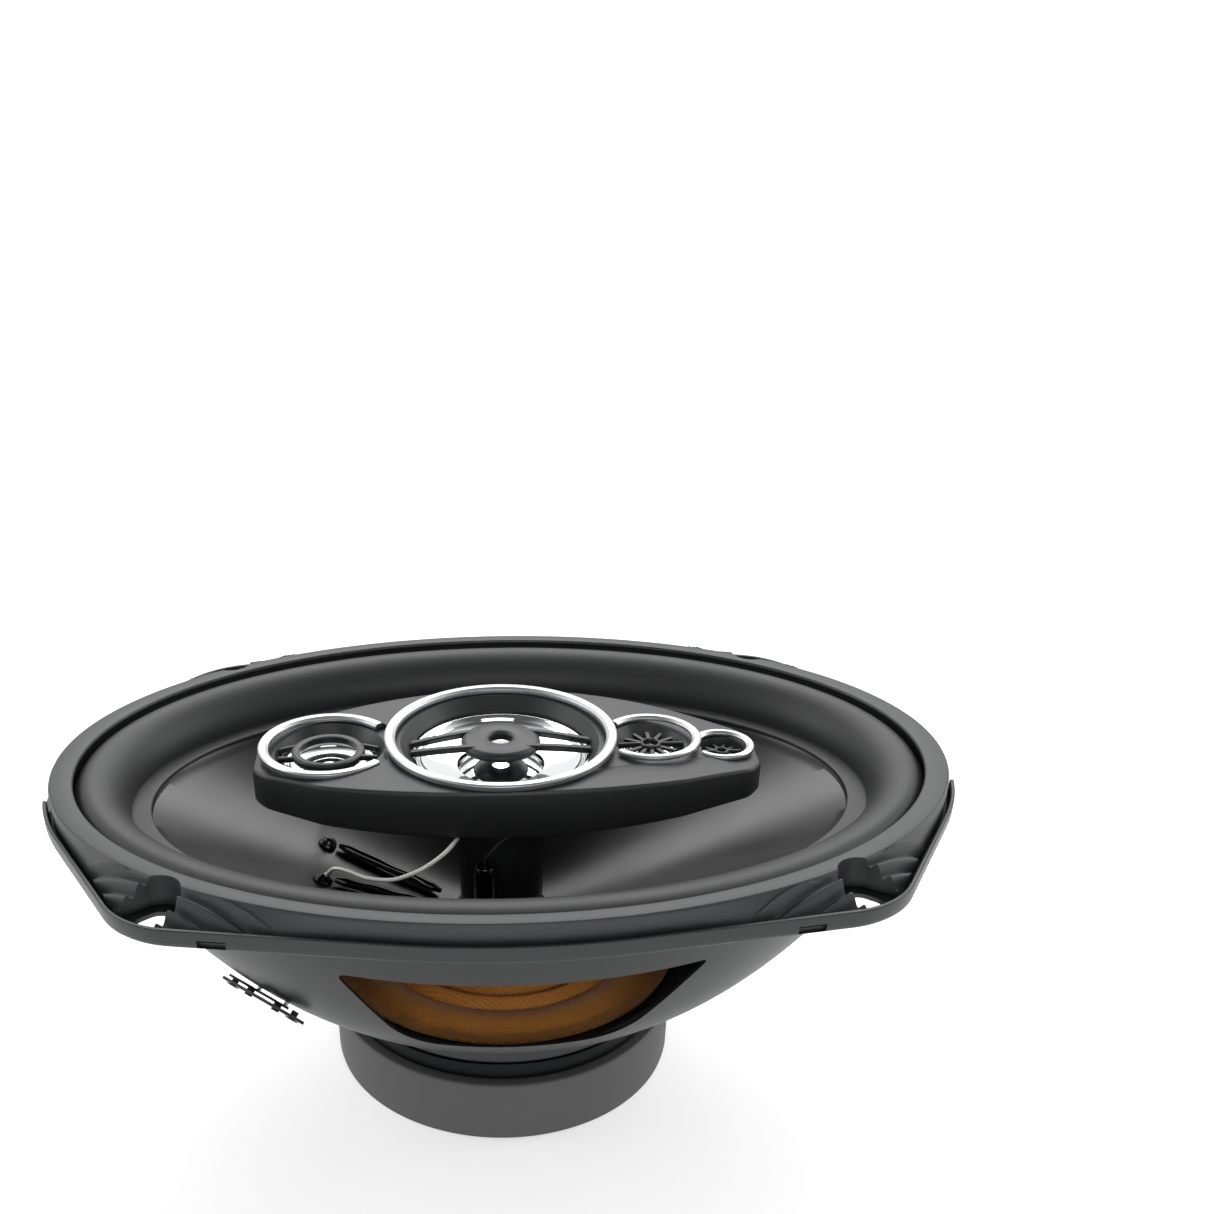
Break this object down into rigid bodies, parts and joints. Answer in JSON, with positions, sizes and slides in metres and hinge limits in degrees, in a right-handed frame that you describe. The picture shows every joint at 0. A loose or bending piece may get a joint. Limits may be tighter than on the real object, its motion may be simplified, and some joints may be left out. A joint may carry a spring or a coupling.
{
  "type": "coaxial car speaker",
  "caption": "Oval coaxial car speaker with a pressed steel basket, glossy cone, and a bridge of small drivers above it.",
  "frame": {"origin": "middle of the magnet's rear face, on the surface the speaker stands on", "axes": "+X along the oval, +Z the way the speaker plays, +Y to the side away from the terminals"},
  "size_m": [0.2366, 0.1662, 0.0977],
  "materials": {
    "pressed_steel": "satin",
    "trim_plastic": "satin",
    "surround_rubber": "satin",
    "cone_film": "gloss",
    "spider_cloth": "matte",
    "boot_rubber": "matte",
    "plated_steel": "satin",
    "ferrite": "matte",
    "fibre_board": "matte",
    "copper_wire": "satin",
    "bridge_plastic": "satin",
    "satin_silver": "satin",
    "bright_chrome": "polished",
    "lead_braid": "satin",
    "black_glue": "gloss"
  },
  "bodies": {
    "frame_and_bridge": {"basket": "pressed_steel", "trim_ring": "trim_plastic", "surround": "surround_rubber", "spider": "spider_cloth", "magnet_boot": "boot_rubber", "back_plate": "plated_steel", "ferrite_magnet": "ferrite", "top_plate": "plated_steel", "basket_rivet_1": "plated_steel", "basket_rivet_2": "plated_steel", "basket_rivet_3": "plated_steel", "basket_rivet_4": "plated_steel", "terminal_board": "fibre_board", "terminal_blade_positive": "plated_steel", "terminal_blade_negative": "plated_steel", "terminal_rivet_1": "plated_steel", "terminal_rivet_2": "plated_steel", "centre_post": "bridge_plastic", "post_screw": "plated_steel", "pod_back_cover": "bridge_plastic", "pod_housing": "bridge_plastic", "midrange_magnet": "ferrite", "tweeter_piezo_disc": "plated_steel", "small_tweeter_piezo_disc": "plated_steel", "tiny_tweeter_piezo_disc": "plated_steel", "capacitor": "bridge_plastic", "capacitor_lead": "plated_steel", "front_lead_near": "lead_braid", "front_lead_far": "lead_braid", "rear_lead_near": "lead_braid", "rear_lead_far": "lead_braid", "midrange_ring": "satin_silver", "midrange_guard": "bridge_plastic", "midrange_horn": "bright_chrome", "tweeter_ring": "satin_silver", "tweeter_guard": "bridge_plastic", "tweeter_horn": "bright_chrome", "small_tweeter_ring": "satin_silver", "small_tweeter_guard": "bridge_plastic", "small_tweeter_horn": "bright_chrome", "tiny_tweeter_ring": "satin_silver", "tiny_tweeter_guard": "bridge_plastic", "tiny_tweeter_horn": "bright_chrome"},
    "cone_assembly": {"cone": "cone_film", "voice_coil_former": "fibre_board", "voice_coil_winding": "copper_wire", "eyelet_near": "black_glue", "eyelet_far": "black_glue", "glue_bead_near": "black_glue", "glue_bead_far": "black_glue"},
    "midrange_diaphragm": {"midrange_dome": "bright_chrome"},
    "tweeter_diaphragm": {"tweeter_dome": "bright_chrome"},
    "small_tweeter_diaphragm": {"small_tweeter_dome": "bright_chrome"},
    "tiny_tweeter_diaphragm": {"tiny_tweeter_dome": "bright_chrome"}
  },
  "joints": [
    {"name": "cone_travel", "type": "slide", "parent": "frame_and_bridge", "child": "cone_assembly", "axis": [0, 0, 1], "range_m": [-0.004, 0.004], "stiffness_N_per_m": 2500, "deforming": ["surround", "spider", "front_lead_near", "front_lead_far", "rear_lead_near", "rear_lead_far"]},
    {"name": "midrange_travel", "type": "slide", "parent": "frame_and_bridge", "child": "midrange_diaphragm", "axis": [0, 0, 1], "range_m": [-0.0004, 0.0004], "stiffness_N_per_m": 900},
    {"name": "tweeter_travel", "type": "slide", "parent": "frame_and_bridge", "child": "tweeter_diaphragm", "axis": [0, 0, 1], "range_m": [-0.0001, 0.0001], "stiffness_N_per_m": 900},
    {"name": "small_tweeter_travel", "type": "slide", "parent": "frame_and_bridge", "child": "small_tweeter_diaphragm", "axis": [0, 0, 1], "range_m": [-0.0001, 0.0001], "stiffness_N_per_m": 600},
    {"name": "tiny_tweeter_travel", "type": "slide", "parent": "frame_and_bridge", "child": "tiny_tweeter_diaphragm", "axis": [0, 0, 1], "range_m": [-0.0001, 0.0001], "stiffness_N_per_m": 600}
  ]
}
